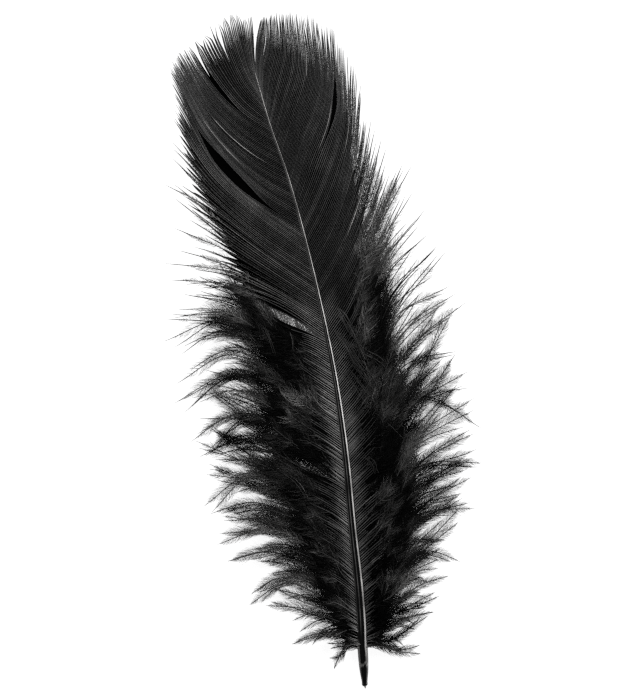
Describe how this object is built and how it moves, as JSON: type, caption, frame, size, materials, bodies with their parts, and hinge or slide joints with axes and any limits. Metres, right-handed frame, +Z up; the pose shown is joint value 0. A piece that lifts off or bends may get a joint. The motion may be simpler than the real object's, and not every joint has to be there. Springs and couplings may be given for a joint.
{
  "type": "body feather",
  "caption": "Black body feather with a short quill, a tapering shaft, a closed rounded upper vane and fluffy down below, lying flat.",
  "frame": {"origin": "middle of the feather's box, on the surface that it lies on", "axes": "+Z up out of the surface, +Y along the feather from the quill to the tip, +X across it"},
  "size_m": [0.0532, 0.1204, 0.0079],
  "materials": {
    "feather": "dyed black keratin, dull with fine bright lines along the barbs, warm brown where its edges are thin"
  },
  "bodies": {
    "root": {"feather": "feather"}
  },
  "joints": []
}
